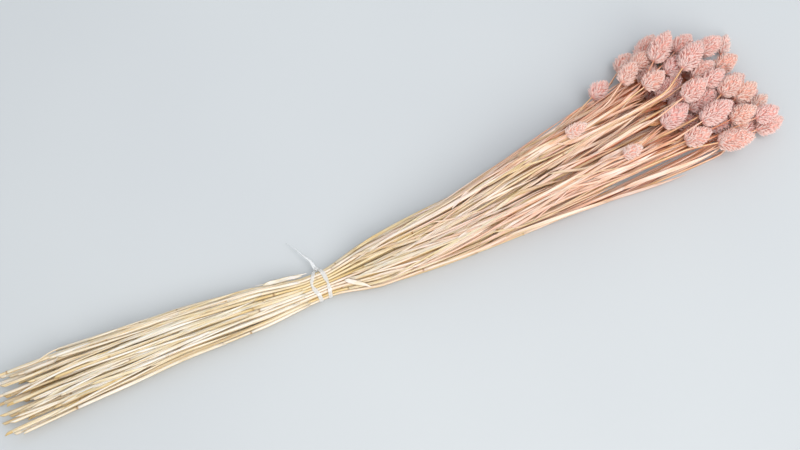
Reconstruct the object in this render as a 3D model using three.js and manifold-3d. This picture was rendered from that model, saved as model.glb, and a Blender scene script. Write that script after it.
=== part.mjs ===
// A tied bunch of dried canary grass: straw stems with dyed flower heads, lying on a table.
// Millimetres. +X runs along the stems to the heads, +Y across them, +Z up. The origin is on the
// table, under the middle of the tie.
import * as THREE from "three";
import { mergeVertices } from "three/addons/utils/BufferGeometryUtils.js";
import Module from "manifold-3d";

const wasm = await Module();
wasm.setup();

// The tie: a plastic strap that goes twice round the stems and holds them in rows
const ROWS = [9, 10, 11, 10, 8]; // stems in each row, from the table up
const PITCH = 2.2; // between two stems of a row, which press on each other
const ROW_RISE = 2.44; // between two rows
const HOLD = 9; // the stems run straight this far each side of the tie's middle
const STRAP_WIDTH = 2.4;
const STRAP_THICK = 0.5;
const STRAP_GAP = 0.3;
const STRAP_LEAN = 0.9; // how far a turn runs along the stems for each millimetre that it rises
const STRAP_STEP = Math.PI / 12; // one facet of a turn
const KNOT_RADIUS = 1.7;
const TAIL = [
  [0.6, 14.2, 7], [3.4, 18, 10.5], [2.4, 24, 13.4], [-2, 31, 12.5], [-7, 38.5, 8.5], [-11.5, 45, 4],
];
const TAIL_RADIUS = 1.0;
const TAIL_TAPER = 0.1; // the tail grows this share narrower at each of its points
const TAIL_SQUASH = 0.4; // it is a flat ribbon

// The stems, from their cut ends on the left to the necks of the heads on the right
const CUT_RADIUS = 1.3;
const TIE_RADIUS = 1.13;
const SHEATH_RADIUS = 1.8; // the last leaf sheath swells the stem between the tie and the head
const BEND_RADIUS = 1.15;
const NECK_RADIUS = 0.7;
const STEM_SIDES = 6;
const CUT_ALONG = [-212, -274]; // the shortest and the longest cut ends
const CUT_STRAY = 1.5; // the cut ends lie up to half of this out of line
const STRAY_STEPS = [0.4142, 0.3247]; // steps that never repeat, across and up
const EVEN_STEP = 0.618; // a step that spreads shares evenly
const NECK_BEND = 24; // the neck turns into the head's own direction over this length
// Left of the tie: along, how far the stems drift across, how much wider and how much higher they
// lie than in the tie
const LEFT_FAN = [
  [-9, 0, 1, 1],
  [-50, 3, 1.5, 1.25],
  [-110, 7.4, 1.82, 1.4],
  [-175, 10.5, 2.35, 1.55],
  [-280, 9.5, 2.38, 1.65],
];
// Right of the tie: the same for how far they bow from the straight way to their heads
const RIGHT_BOW = [
  [9, 0, 0, 0],
  [45, -3, 0.4, 0.25],
  [125, -7, 0.15, 0.1],
  [205, -5, 0.05, 0],
  [290, 0, 0, 0],
];
const LEFT_RINGS = [[-110, CUT_RADIUS], [-50, 1.25]]; // along and radius
const RIGHT_RINGS = [[45, 1.25], [125, 1.6], [205, SHEATH_RADIUS]];
const RING_ROOM = 15; // between the last of them and the neck's bend

// The heads in view: along and across to the neck, the way the head turns, its length and its height
const OUTER_HEADS = [
  [272, 53, 24, 21, 24], [306, 69, 33, 22, 16], [297, 52, 32, 23, 34], [325, 70, 36, 32, 18],
  [329, 57, 38, 32, 38], [347, 62, 40, 24, 14], [358, 67, 28, 23, 16], [346, 41, 32, 32, 40],
  [316, 51, 32, 23, 20], [309, 37, 14, 23, 46], [320, 32, 16, 29, 34], [339, 48, 18, 25, 12],
  [374, 53, 16, 24, 26], [396, 50, 46, 20, 12], [380, 36, 9, 24, 18], [355, 33, 16, 26, 30],
  [333, 15, 14, 27, 46], [360, 22, 12, 22, 34], [369, 8, 22, 26, 32], [379, 4, 15, 26, 22],
  [394, -6, 20, 20, 14], [340, 9, 12, 31, 32], [339, -8, 12, 34, 36], [367, -13, 2, 25, 26],
  [387, -23, 2, 27, 12], [378, -24, 22, 23, 10], [350, -20, -12, 33, 11], [310, 4, 18, 30, 36],
  [322, -14, 0, 25, 34], [267, -9, 2, 18, 39], [232, 26, 6, 20, 41], [343, -10, 3, 24, 12],
  [361, -21, 12, 21, 20],
];
// The heads beneath them, which show in the gaps
const INNER_HEADS = [
  [328, 4, 7, 23, 14], [328, 24, 13, 24, 20], [388, 4, 7, 22, 8], [368, -4, 5, 24, 10],
  [316, 62, 24, 22, 28], [356, 44, 17, 24, 18], [364, 10, 8, 25, 16], [380, -16, 2, 23, 22],
  [334, 62, 22, 24, 24], [372, 54, 20, 22, 12], [380, 20, 11, 24, 14], [352, 60, 24, 23, 30],
  [346, 28, 12, 24, 16], [318, 38, 18, 22, 18], [352, -8, 0, 24, 22],
];
const HEAD_RISE = 0.1; // how steeply a head nods or looks up at the most

// A head: a spike of scales, wider the longer it is
const HEAD_GIRTH = [3.85, 0.118]; // radius at no length, and what each millimetre of length adds
const SCALE_LENGTH = 3.7; // between two rings of scales
const SCALE_SIDES = { inView: 7, beneath: 6 };
const SCALE_LIFT = 0.19; // how far a scale's point stands out, as a share of the head's radius
const SCALE_REACH = 1.15; // how many rings forward a scale's point lies
const SCALE_STRAY = 0.16; // the points of a ring differ by this share of that reach
const SCALE_TWIST = 0.09; // each ring is turned this much further than half a scale
const HEAD_FULLNESS = [0.8, 0.65]; // how near the neck a head is widest, and how blunt its ends are
const LAST_RING = 0.93; // the last ring's place, as a share of the head's length
const COLLAR = 0.2; // a head's narrow end is this much wider than its stem
const NECK_GAP = 0.3; // the stem's end stops this short of the head

// How the heads settle beside each other
const SIGHT = new THREE.Vector3(-0.14, -0.31, 0.94); // a head in view gives way along this line
const ROUNDS = 400;
const SWAP_EVERY = 10; // the stems change places in the tie in every tenth round
const SWAP_UNTIL = 0.9; // and no more after this share of the rounds
const SWEEPS = 6;
const CLEAR = 0.55; // between two heads or stems
const HOMING = { inView: 0.86, beneath: 0.98, sightward: 0.985 }; // the share of a shift that is kept
const MERGE = 1e-4; // corners nearer to each other than this are one corner
const STEM_MARKS = [0.4, 0.8]; // places between two rings of a stem
const STEM_FREE = 0.25; // the heads don't move their stems nearer to the tie than this share
const HEAD_MARKS = [[0.16, 0.84], [0.42, 1], [0.68, 0.9], [0.9, 0.5]]; // place and share of radius

const COLOURS = { straw: "#dcc79b", head: "#e9b3a6", strap: "#e9edee" };
const ROUGHNESS = { straw: 0.55, head: 0.8, strap: 0.3 };

const radians = THREE.MathUtils.degToRad;
const share = (n, step) => (n * step) % 1;
const between = ([low, high], part) => low + (high - low) * part;

// The strap's outer face lies flat on the table, so the lowest row is this high.
const STRAP_OUT = TIE_RADIUS + STRAP_GAP + STRAP_THICK;
const LOWEST_ROW = STRAP_OUT * Math.cos(STRAP_STEP / 2);
const MIDDLE_ROW = LOWEST_ROW + ((ROWS.length - 1) / 2) * ROW_RISE;

const slots = ROWS.flatMap((count, row) =>
  Array.from({ length: count }, (_, place) => ({
    row,
    place,
    at: new THREE.Vector3(HOLD, (place - (count - 1) / 2) * PITCH, LOWEST_ROW + row * ROW_RISE),
  })),
);

// A stalk is one stem with its head: neck and tip are the head's two ends.
function stalk([along, across, turn, length, height], inView) {
  const neck = new THREE.Vector3(along, across, height);
  const rise = HEAD_RISE * Math.sin(along + across);
  const way = new THREE.Vector3(Math.cos(radians(turn)), Math.sin(radians(turn)), rise).normalize();
  return {
    neck,
    way,
    length,
    inView,
    home: neck.clone(),
    radius: HEAD_GIRTH[0] + HEAD_GIRTH[1] * length,
  };
}

const bendOf = (s) => s.neck.clone().addScaledVector(s.way, -NECK_BEND);

// The row of a table that belongs to a place along the bunch
function rowAt(table, along) {
  const sign = Math.sign(table[1][0]);
  const next = table.findIndex(([place]) => sign * place >= sign * along);
  if (next < 0) return table.at(-1);
  const [low, high] = [table[Math.max(next - 1, 0)], table[next]];
  const part = high === low ? 0 : (along - low[0]) / (high[0] - low[0]);
  return high.map((value, n) => between([low[n], value], part));
}

function leftPoint({ at }, along) {
  const [, drift, wider, higher] = rowAt(LEFT_FAN, along);
  return new THREE.Vector3(along, drift + at.y * wider, LOWEST_ROW + (at.z - LOWEST_ROW) * higher);
}

function bow({ at }, along) {
  const [, drift, wider, higher] = rowAt(RIGHT_BOW, along);
  return new THREE.Vector3(0, drift + at.y * wider, (at.z - LOWEST_ROW) * higher);
}

const straightEnd = (s) => bendOf(s).sub(bow(s.slot, bendOf(s).x));

// The stem's points from the tie to the neck, and how far each moves when the head moves by one
function rightPath(s) {
  const [bend, end] = [bendOf(s), straightEnd(s)];
  const path = [{ at: s.slot.at.clone(), radius: TIE_RADIUS, lead: 0 }];
  for (const [along, radius] of RIGHT_RINGS) {
    if (along > bend.x - RING_ROOM) break;
    const part = (along - HOLD) / (bend.x - HOLD);
    path.push({ at: s.slot.at.clone().lerp(end, part).add(bow(s.slot, along)), radius, lead: part });
  }
  path.push({ at: bend, radius: BEND_RADIUS, lead: 1 });
  path.push({ at: s.neck.clone().addScaledVector(s.way, -NECK_GAP), radius: NECK_RADIUS, lead: 1 });
  return path;
}

// The points that keep other stalks away: where they are, how thick the stalk is there, and how far
// each one moves when the head moves by one.
const headMarks = (s) =>
  HEAD_MARKS.map(([part, girth]) => ({
    at: s.neck.clone().addScaledVector(s.way, part * s.length),
    radius: girth * s.radius,
    lead: 1,
  }));

// The point of a stem that lies nearest to another point
function stemMark(s, point) {
  let nearest;
  for (const [n, end] of s.path.slice(1).entries()) {
    const start = s.path[n];
    const line = new THREE.Line3(start.at, end.at);
    const part = line.closestPointToPointParameter(point, true);
    const at = line.at(part, new THREE.Vector3());
    const far = at.distanceTo(point);
    if (!nearest || far < nearest.far)
      nearest = {
        at,
        far,
        radius: between([start.radius, end.radius], part),
        lead: between([start.lead, end.lead], part),
      };
  }
  return nearest;
}

function push(a, markA, b, markB) {
  const apart = markA.at.clone().sub(markB.at);
  const lack = markA.radius + markB.radius + CLEAR - apart.length();
  if (lack <= 0) return;
  const step = lack / (markA.lead ** 2 + markB.lead ** 2);
  apart.normalize();
  a.neck.addScaledVector(apart, step * markA.lead);
  b.neck.addScaledVector(apart, -step * markB.lead);
}

const middleOf = (s) => s.neck.clone().addScaledVector(s.way, s.length / 2);
const reachOf = (s) => s.length / 2 + s.radius / 2 + CLEAR;

function pushApart(a, b) {
  const [middleA, middleB] = [middleOf(a), middleOf(b)];
  if (middleA.distanceTo(middleB) < reachOf(a) + reachOf(b))
    for (const markA of headMarks(a))
      for (const markB of headMarks(b)) push(a, markA, b, markB);
  pushOffStem(a, middleA, b);
  pushOffStem(b, middleB, a);
  for (const [n, end] of a.path.slice(1).entries())
    for (const part of STEM_MARKS) {
      const start = a.path[n];
      const lead = between([start.lead, end.lead], part);
      if (lead < STEM_FREE) continue;
      const at = start.at.clone().lerp(end.at, part);
      push(a, { at, radius: between([start.radius, end.radius], part), lead }, b, stemMark(b, at));
    }
}

function pushOffStem(headed, middle, stemmed) {
  if (stemMark(stemmed, middle).far > reachOf(headed) + SHEATH_RADIUS) return;
  for (const mark of headMarks(headed)) push(headed, mark, stemmed, stemMark(stemmed, mark.at));
}

// Each head is drawn back to its place, less so along the line of sight, and stays off the table.
function drawHome(s) {
  const off = s.neck.clone().sub(s.home);
  const along = SIGHT.clone().multiplyScalar(off.dot(SIGHT));
  off.sub(along).multiplyScalar(s.inView ? HOMING.inView : HOMING.beneath);
  s.neck.copy(s.home).add(off).add(along.multiplyScalar(HOMING.sightward));
  for (const mark of headMarks(s)) s.neck.z += Math.max(0, mark.radius - mark.at.z);
}

// Two stems that draw nearer to each other change places in the tie, where that spreads them more.
function uncross(stalks) {
  const spread = (a, slotA, b, slotB) => {
    const slope = straightEnd({ ...a, slot: slotA }).sub(slotA.at);
    const other = straightEnd({ ...b, slot: slotB }).sub(slotB.at);
    slope.divideScalar(slope.x).sub(other.divideScalar(other.x));
    return slope.dot(slotA.at.clone().sub(slotB.at));
  };
  for (let sweep = 0; sweep < SWEEPS; sweep += 1)
    for (const [n, a] of stalks.entries())
      for (const b of stalks.slice(n + 1)) {
        const now = spread(a, a.slot, b, b.slot);
        if (now < 0 && spread(a, b.slot, b, a.slot) > now) [a.slot, b.slot] = [b.slot, a.slot];
      }
}

function settledStalks() {
  const stalks = [
    ...OUTER_HEADS.map((head) => stalk(head, true)),
    ...INNER_HEADS.map((head) => stalk(head, false)),
  ];
  stalks.forEach((s, n) => (s.slot = slots[n]));
  for (let round = 0; round < ROUNDS; round += 1) {
    if (round % SWAP_EVERY === 0 && round < ROUNDS * SWAP_UNTIL) uncross(stalks);
    stalks.forEach((s) => (s.path = rightPath(s)));
    stalks.forEach((a, n) => stalks.slice(n + 1).forEach((b) => pushApart(a, b)));
    stalks.forEach(drawHome);
  }
  return stalks;
}

// The stem's points and their radii, from the cut end to the neck
function stemLine(s) {
  const n = slots.indexOf(s.slot) + 1;
  const stray = (step) => (share(n, step) - 0.5) * CUT_STRAY;
  const cut = leftPoint(s.slot, between(CUT_ALONG, share(n * 7 + s.slot.row, EVEN_STEP)));
  cut.y += stray(STRAY_STEPS[0]);
  cut.z = Math.max(cut.z + stray(STRAY_STEPS[1]), CUT_RADIUS);
  return [
    [cut, CUT_RADIUS],
    ...LEFT_RINGS.map(([along, radius]) => [leftPoint(s.slot, along), radius]),
    [leftPoint(s.slot, -HOLD), TIE_RADIUS],
    ...rightPath(s).map(({ at, radius }) => [at, radius]),
  ];
}

// A closed tube through the points, each a ring of its own radius
function tube(line, sides, squash = 1) {
  const points = [];
  const faces = [];
  line.forEach(([centre, radius], n) => {
    const before = line[Math.max(n - 1, 0)][0];
    const after = line[Math.min(n + 1, line.length - 1)][0];
    const way = after.clone().sub(before).normalize();
    const left = new THREE.Vector3(0, 0, 1).cross(way).normalize();
    const over = way.clone().cross(left);
    for (let k = 0; k < sides; k += 1) {
      const turn = (2 * Math.PI * k) / sides;
      points.push(
        centre.clone()
          .addScaledVector(left, radius * Math.cos(turn))
          .addScaledVector(over, radius * squash * Math.sin(turn)),
      );
    }
  });
  const last = (line.length - 1) * sides;
  for (let k = 0; k < sides; k += 1) {
    const next = (k + 1) % sides;
    for (let ring = 0; ring < last; ring += sides) {
      faces.push(ring + k, ring + next, ring + sides + k);
      faces.push(ring + next, ring + sides + next, ring + sides + k);
    }
    if (k > 1) faces.push(0, k, k - 1, last, last + k - 1, last + k);
  }
  return meshGeometry(points, faces);
}

function meshGeometry(points, faces) {
  const geometry = new THREE.BufferGeometry().setFromPoints(points);
  return geometry.setIndex(faces);
}

// A head along +Z from its neck at the origin. Rings of corners, each turned half a step from the
// last, make diamonds, and each diamond is raised to a point that leans over the next ones.
function headGeometry(length, radius, sides, phase) {
  const rings = Math.round(length / SCALE_LENGTH);
  const lift = SCALE_LIFT * radius;
  const [place, blunt] = HEAD_FULLNESS;
  const swell = (part) => (radius - lift) * Math.sin(Math.PI * Math.min(part, 1) ** place) ** blunt;
  const point = (reach, turn, part) =>
    new THREE.Vector3(reach * Math.cos(turn), reach * Math.sin(turn), part * LAST_RING * length);
  const turnOf = (ring, side) => ((side + ring / 2) * 2 * Math.PI) / sides + ring * SCALE_TWIST + phase;
  const points = [];
  for (let ring = 0; ring <= rings; ring += 1)
    for (let side = 0; side < sides; side += 1) {
      const part = ring / rings;
      points.push(point(Math.max(swell(part), NECK_RADIUS + COLLAR), turnOf(ring, side), part));
    }
  const faces = [];
  const corner = (ring, side) => ring * sides + ((side % sides) + sides) % sides;
  const [base, tip] = [points.length, points.length + 1];
  points.push(new THREE.Vector3(), new THREE.Vector3(0, 0, length));
  for (let side = 0; side < sides; side += 1) {
    faces.push(base, corner(0, side + 1), corner(0, side));
    faces.push(corner(rings, side), corner(rings, side + 1), tip);
    faces.push(corner(0, side), corner(0, side + 1), corner(1, side));
    faces.push(corner(rings, side), corner(rings - 1, side + 1), corner(rings, side + 1));
    for (let ring = 1; ring < rings; ring += 1) {
      const stray = SCALE_STRAY * (share(ring * 5 + side, EVEN_STEP) - 0.5);
      const part = (ring + SCALE_REACH * (1 + stray)) / rings;
      const turn = turnOf(ring, side + 0.5);
      const [left, right] = [corner(ring, side), corner(ring, side + 1)];
      const [back, front] = [corner(ring - 1, side + 1), corner(ring + 1, side)];
      const raised = points.push(point(swell(part) + lift, turn, part)) - 1;
      faces.push(back, right, raised, right, front, raised, front, left, raised, left, back, raised);
    }
  }
  return meshGeometry(points, faces);
}

function solidOf(geometry) {
  const bare = geometry.clone();
  bare.deleteAttribute("normal");
  bare.deleteAttribute("uv");
  const { attributes, index } = mergeVertices(bare, MERGE);
  return new wasm.Manifold(
    new wasm.Mesh({
      numProp: 3,
      vertProperties: new Float32Array(attributes.position.array),
      triVerts: new Uint32Array(index.array),
    }),
  );
}

const fused = (geometries) => geometries.map(solidOf).reduce((whole, next) => whole.add(next));

function geometryOf(solid) {
  const { vertProperties, triVerts } = solid.getMesh();
  const geometry = new THREE.BufferGeometry();
  geometry.setAttribute("position", new THREE.BufferAttribute(vertProperties, 3));
  return geometry.setIndex(new THREE.BufferAttribute(triVerts, 1));
}

function mesh(name, geometry, colour, roughness) {
  geometry.computeVertexNormals();
  const material = new THREE.MeshStandardMaterial({ color: colour, roughness, metalness: 0 });
  const made = new THREE.Mesh(geometry, material);
  made.name = name;
  return made;
}

// The outline round the stems in the tie, this far from the middles of the outermost ones
function outline(reach) {
  const ends = ROWS.flatMap((count, row) =>
    [-1, 1].map((side) => new THREE.Vector2((side * (count - 1) * PITCH) / 2, LOWEST_ROW + row * ROW_RISE)),
  );
  const points = [];
  for (let turn = STRAP_STEP / 2; turn < 2 * Math.PI; turn += STRAP_STEP) {
    const way = new THREE.Vector2(Math.cos(turn), Math.sin(turn));
    const [outermost] = ends.sort((a, b) => b.dot(way) - a.dot(way));
    points.push(outermost.clone().addScaledVector(way, reach));
  }
  return points;
}

// One turn of the strap: a flat ring round the stems, which leans along them from its sides up
function strapTurn(lean) {
  const ring = new THREE.Shape(outline(STRAP_OUT));
  ring.holes.push(new THREE.Path(outline(STRAP_OUT - STRAP_THICK)));
  const geometry = new THREE.ExtrudeGeometry(ring, { depth: STRAP_WIDTH, bevelEnabled: false });
  // The outline's own axes are across and up, and its depth runs along the stems.
  const axes = [new THREE.Vector3(0, 1, 0), new THREE.Vector3(0, 0, 1), new THREE.Vector3(1, 0, 0)];
  geometry.applyMatrix4(new THREE.Matrix4().makeBasis(...axes).setPosition(-STRAP_WIDTH / 2, 0, 0));
  const corners = geometry.getAttribute("position");
  for (let n = 0; n < corners.count; n += 1)
    corners.setX(n, corners.getX(n) + lean * Math.max(corners.getZ(n) - MIDDLE_ROW, 0));
  return geometry;
}

function tie() {
  const [knot] = TAIL;
  const tail = TAIL.map((at, n) => [new THREE.Vector3(...at), TAIL_RADIUS * (1 - TAIL_TAPER * n)]);
  const ball = new THREE.IcosahedronGeometry(KNOT_RADIUS, 1).translate(knot[0], knot[1], knot[2]);
  const turns = [strapTurn(STRAP_LEAN), strapTurn(-STRAP_LEAN)];
  const whole = fused([...turns, ball, tube(tail, STEM_SIDES, TAIL_SQUASH)]);
  return mesh("tie", geometryOf(whole), COLOURS.strap, ROUGHNESS.strap);
}

function bunch() {
  const whole = new THREE.Group();
  const stalks = settledStalks();
  ROWS.forEach((_, row) => {
    const stems = stalks.filter((s) => s.slot.row === row).sort((a, b) => a.slot.place - b.slot.place);
    const tubes = stems.map((s) => tube(stemLine(s), STEM_SIDES));
    whole.add(mesh(`stems_row_${row + 1}`, geometryOf(fused(tubes)), COLOURS.straw, ROUGHNESS.straw));
    stems.forEach((s) => {
      const sides = s.inView ? SCALE_SIDES.inView : SCALE_SIDES.beneath;
      const name = `head_${row + 1}_${String(s.slot.place + 1).padStart(2, "0")}`;
      const geometry = headGeometry(s.length, s.radius, sides, s.slot.place);
      const head = mesh(name, geometry, COLOURS.head, ROUGHNESS.head);
      head.position.copy(s.neck);
      head.quaternion.setFromUnitVectors(new THREE.Vector3(0, 0, 1), s.way);
      whole.add(head);
    });
  });
  whole.add(tie());
  return whole;
}

export default bunch();
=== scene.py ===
"""A tied bunch of dried canary grass: straw stems, their leaf sheaths and their dyed heads."""
import math
import random
from collections import namedtuple
from functools import partial

import bmesh
import bpy
import numpy as np
from mathutils import Matrix, Vector, noise


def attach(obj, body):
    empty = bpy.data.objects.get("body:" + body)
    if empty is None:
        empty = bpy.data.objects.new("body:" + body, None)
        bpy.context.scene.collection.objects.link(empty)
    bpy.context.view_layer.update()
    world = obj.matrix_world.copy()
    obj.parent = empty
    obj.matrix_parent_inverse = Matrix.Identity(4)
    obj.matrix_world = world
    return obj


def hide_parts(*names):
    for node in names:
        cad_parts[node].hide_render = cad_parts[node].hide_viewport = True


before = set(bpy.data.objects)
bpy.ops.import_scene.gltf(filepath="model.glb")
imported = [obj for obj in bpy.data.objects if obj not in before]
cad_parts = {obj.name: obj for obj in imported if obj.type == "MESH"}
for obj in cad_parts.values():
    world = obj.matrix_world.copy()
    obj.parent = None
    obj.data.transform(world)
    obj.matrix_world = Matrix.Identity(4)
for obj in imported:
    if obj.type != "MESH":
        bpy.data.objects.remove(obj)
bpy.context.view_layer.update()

MM = 0.001  # pieces are made in millimetres and brought to metres at the end
TABLE_GAP = 0.05  # between the table and what is pressed flat on it
MERGE = 1e-4  # corners nearer than this are one
FAR = 99.0  # farther than anything in the bunch
UPWARD = Vector((0, 0, 1))

# The camera, in metres: it aims so far to the right and up in the picture
CAMERA_TILT = math.radians(70)
BUNCH_TURN = math.radians(24.1)
CAMERA_DISTANCE = 1.291
CAMERA_AIM = (0.0656, 0.0556)
LENS = 70

# The light, in metres and watts
WORLD_STRENGTH = 0.85
WINDOW_POWER = 26
WINDOW_SIZE = 1.5
WINDOW_PLACE = (1.1, -1.5, 1.7)  # to the right, up in the picture and above the table
LAMP_POWER = 195
LAMP_SIZE = 0.8
LAMP_PLACE = (0.4, -0.5, 2.2)  # from the middle of its pool
LAMP_REACH = 0.66  # radius of its soft pool on the table
POOL_OFF = (0.14, 0.05)  # how far right of and above the camera's aim that lies
TABLE_HALF = 4.0

# The stems in the tie, as the CAD has them, in millimetres
ROWS = (9, 10, 11, 10, 8)
PITCH = 2.2
ROW_RISE = 2.44
HOLD = 9
TIE_RADIUS = 1.13
STRAP_GAP = 0.3
STRAP_THICK = 0.5
STRAP_STEP = math.pi / 12
STRAP_OUT = TIE_RADIUS + STRAP_GAP + STRAP_THICK
LOWEST_ROW = STRAP_OUT * math.cos(STRAP_STEP / 2)
MIDDLE_ROW = LOWEST_ROW + (len(ROWS) - 1) / 2 * ROW_RISE

# Their course on both sides of the tie, as the CAD has it: along, drift, wider and higher
CUT_RADIUS = 1.3
CUT_ALONG = (-212, -274)
CUT_STRAY = 1.5
CUT_STEP = 7
STRAY_STEPS = (0.4142, 0.3247)
EVEN_STEP = 0.618
NECK_BEND = 24
LEFT_FAN = (
    (-9, 0, 1, 1), (-50, 3, 1.5, 1.25), (-110, 7.4, 1.82, 1.4), (-175, 10.5, 2.35, 1.55),
    (-280, 9.5, 2.38, 1.65),
)
RIGHT_BOW = (
    (9, 0, 0, 0), (45, -3, 0.4, 0.25), (125, -7, 0.15, 0.1), (205, -5, 0.05, 0), (290, 0, 0, 0),
)
LEFT_RINGS = (-110, -50)
RIGHT_RINGS = (45, 125, 205)
RING_ROOM = 15
STEM_SEED = 1000
NECK_SLICE = 0.6  # a head's neck is the middle of its solid's end slice

# The stems
STEP = 7  # between two rings of a stem
STEM_SIDES = 8
BEND_HANDLE = 0.12  # how soon a stem turns at its bends, as a share of the stretch
WAVE = 1.0  # how far a dry stem strays from its course
WAVE_LENGTH = 60
WAVE_SAG = 0.5  # it sags by no more than this share of the wave
WAVE_APART = (3.7, 9.1)  # between two stems' waves, and between those across and up
TIE_CALM = (20, 60)  # they begin this far from the tie, and are full this much farther on
HEAD_CALM = 40  # they die down over this length below the head
CULM_RADII = ((-280, 1.22), (-60, 1.15), (-9, 1.08), (9, 1.08), (60, 1.12), (200, 1.1))
CULM_STRAY = (0.92, 1.08)  # the stems differ in girth by this
TIE_EVEN = (15, 30)  # but are alike this near to the tie, and differ this much farther on
PEDUNCLE = 0.72  # radius of the bare stem below the head
PEDUNCLE_TAPER = 50
BARE_LENGTHS = (50, 120)
NECK_RADIUS = 0.55
NECK_TAPER = 16
HEAD_ENTRY = 5  # how far a stem runs on into its head
JOINT_SWELL = 1.3
JOINT_HALF = 1.5
JOINT_RINGS = (-1, -0.35, 0, 0.35, 1)  # in halves of a joint
JOINT_GAPS = (70, 150)
JOINT_SHADES = (0.25, 0.85)  # how dark the joints of a stem are
FIRST_JOINTS = (8, 90)  # from the cut end
LAST_JOINT = 45  # at least, from the bare stretch
# The dark joints take this colour, and so does the painted shade inside cut ends and sheath mouths.
JOINT_COLOUR = "#8a5c34"
JOINT_HELD = 30  # this near to the tie a joint doesn't swell
CUT_RINGS = ((1.8, 0.5, 0.45), (0.1, 0.72, 0.1), (0, 1, 0))  # depth, share of the girth and darkness, which is painted shade inside the hollow
CUT_SLANTS = (0.4, 2.0)
NEXT_RINGS = (3.2, 5)  # the place of the next one, and the least for the one after it

# The colours of straw
PALE_SHARE = 0.3  # of the stems are quite pale
GOLDEN_SPAN = 0.65
DEEP_STEMS = 3  # so many stems deep in the bunch, a stem gets the most painted shade
# how much painted shade the stems deepest in the bunch get
DEEP_SHADE = 0.7
CREASE_SHADE = 0.65  # how much painted shade darkens the sides and underside of a straw
GRAIN_APART = (37, 11, 500)  # between the patterns of two pieces
FIBRES_PER_MM = (1.7, 1.7, 0.045)
PATCHES_PER_MM = (0.3, 0.3, 0.036)
DYE_ALONG = (0.1, 0.45)  # where it begins and is strongest, in metres from the tie

# The leaf sheaths
SHEATH_SIDES = 10
SHEATH_WIDTHS = (1.25, 1.7)  # half widths, where the stems have room
SHEATH_FLATNESS = (0.85, 0.6)  # height against width, at its foot and farther on
SHEATH_ROLL = 0.6
SHEATH_TONES = (-0.35, 0.25)  # against its stem's
SHEATH_WAVE = (0.1, 23)  # how much its width differs, and over what length
SHEATH_PARTS = (0.6, 0.98)  # of the stretch between two joints
SHEATH_ROOMS = (0.5, 0.52, 3.2)  # in the tie and left of it, in pitches, and near the heads
SHEATH_FREE = (15, 170)  # they have room from this far right of the tie, and all this much on
MOUTH_SLANTS = (0.8, 2.4)
MOUTH_RINGS = ((0.15, 0.86, 0.25), (2.2, 0.66, 0.75))  # depth, share of the girth and darkness, which is painted shade inside the mouth
FOOT_SHEATH = (5, 45)  # it begins here where the first joint lies past this
FOOT_SHEATH_ENDS = (8, 30)  # before that joint
TIE_HALF = 14  # no sheath lies this near to the tie's middle
SHORTEST = 30  # of the sheaths and the leaves

# The leaves
BLADE_THICK = 0.14  # half of it
ROLLED_THICK = 0.5
LEAF_SIDES = 8
LEAF_FOOT = (0.18, 0.22)  # it widens over this share of its length, from this on
LEAF_POINT = (0.45, 0.55, 0.6)  # it narrows from here, over this share, and how bluntly
LEAF_TIP = 0.12
LEAF_SEEDS = (0, 90)
LEAF_FOLDS = (0.5, 0.12)  # how sharply a leaf is folded at its foot, and farther on
LEAF_GRAIN = 90  # length of the pattern on a leaf
LEAF_POINTS = 14
BLADE_SHARE = 0.5  # of the sheaths bear a blade
BLADE_LENGTHS = (45, 120)
BLADE_WIDTHS = (1.0, 2.2)
BLADE_LIFTS = (0.8, 2.2)
BLADE_DRIFT = 6
BLADE_WAVE = 0.8
BLADE_FOOT = 6  # it begins this far down in its sheath
BLADE_END = 8  # and ends at least this far below the head
MIDDLE_ACROSS = 20  # of the heads, across the bunch

# Withered leaves between the stems, and where they begin along the bunch
LINING_STARTS = (24, 40, 62, 88, 112, 138, 162, 188, 212, 238, 258, 276, 292)
LINING_LENGTHS = (60, 130)
LINING_STRAY = 12
LINING_DRIFT = 8
LINING_END = 14
# Flat and rolled ones in turn: half widths, half thickness, lifts and amounts of painted shade
LINING_KINDS = (
    ((0.9, 1.8), BLADE_THICK, (-2.5, 0), (0.3, 1)),
    ((0.7, 1.1), ROLLED_THICK, (-1, 1), (0, 0.35)),
)
LEFT_LINING = (-235, -205, -180, -155, -130, -105)
LEFT_LENGTHS = (50, 95)
LEFT_WIDTHS = (0.8, 1.6)
LEFT_DRIFT = 3
LEFT_EDGE_DRIFTS = (0.5, 2.5)
LEFT_FOOT = 6
LEFT_END = -20

# Loose leaves on the stems: points along and across, half width and thickness, twist and tone
LOOSE_LEAVES = (
    (((20, -5.8), (25, -10), (31, -14.5), (39, -20.5)), 1.9, 0.14, 0.9, 0),
    (((-42, 17), (-24, 16), (-5, 13.5)), 1.6, 0.14, 0.6, 0.2),
    (((-10, 13), (-22, 15.5), (-48, 19)), 1.3, 0.14, 0.6, 0),
    (((122, 9), (143, 18.5), (159, 25), (174, 32.5)), 1.0, 0.16, 0.6, 0),
    (((96, -1.5), (121, 0.3), (146, 1.5)), 1.7, 0.14, 0.8, 0),
    (((114, -16), (129, -12.5), (143, -9.5)), 1.2, 0.16, 0.5, 0.1),
    (((186, 17), (208, 21), (232, 25), (262, 30)), 1.9, 0.16, 0.5, 0.1),
    (((222, 20.5), (246, 19.5), (272, 20), (300, 22)), 1.8, 0.16, 0.6, 0),
    (((232, 13.5), (252, 15), (272, 16.5), (291, 17.5)), 1.4, 0.16, 0.6, 0.2),
    (((248, -3.5), (269, -2.6), (290, -3.5)), 1.7, 0.16, 0.5, 0),
    (((236, -20), (254, -19.4), (274, -18.6), (294, -17)), 1.9, 0.16, 0.4, 0),
    (((206, 4), (232, -4), (256, -9), (283, -11)), 1.1, 0.3, 0.5, 0.6),
)
LAID_HEIGHT = 1.5  # above the middle of the stem that bears it
LAID_REACH = 5  # a stem this far beside it still bears it
LAID_SLOPE = 0.25  # it lies this much lower for each millimetre beside the stem
LAID_LOWEST = 0.6

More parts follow.
